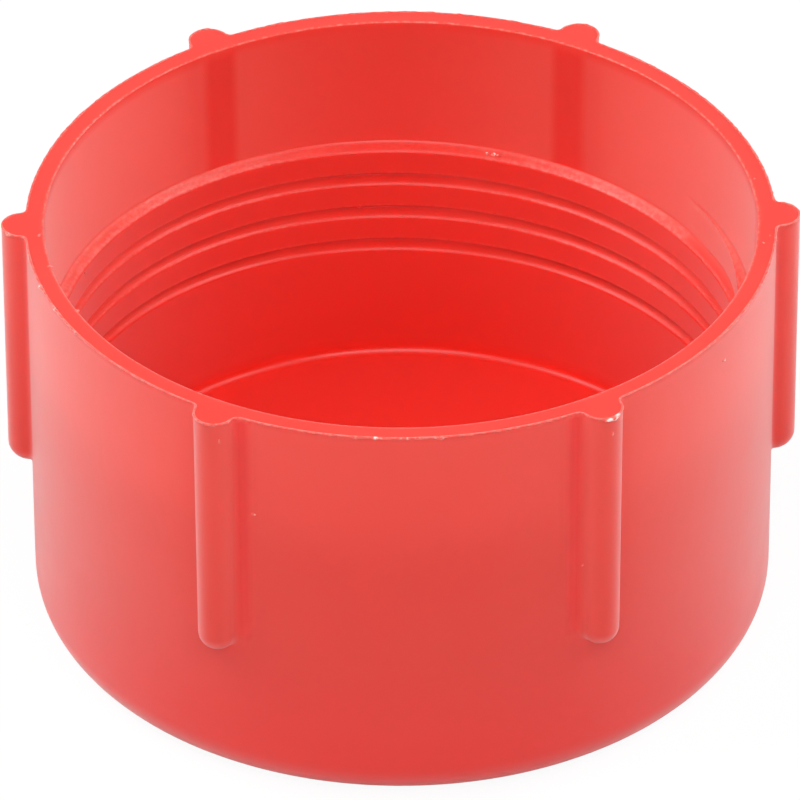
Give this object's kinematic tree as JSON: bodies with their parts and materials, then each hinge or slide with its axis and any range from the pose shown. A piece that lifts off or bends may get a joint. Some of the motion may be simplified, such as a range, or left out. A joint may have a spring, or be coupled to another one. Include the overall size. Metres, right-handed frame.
{
  "type": "threaded protection cap",
  "caption": "Soft plastic screw-on protection cap: a cup with an internal thread, closed at one end, with half-round grip ribs down its outside.",
  "frame": {"origin": "centre of the outer face of the closed end, at its lowest point", "axes": "+Z along the cap's axis, out of its open mouth; +X through the first grip rib"},
  "size_m": [0.0414, 0.039, 0.0233],
  "materials": {
    "moulded_plastic": "soft translucent red polyethylene, moulded, satin gloss"
  },
  "bodies": {
    "root": {"cap": "moulded_plastic"}
  },
  "joints": []
}
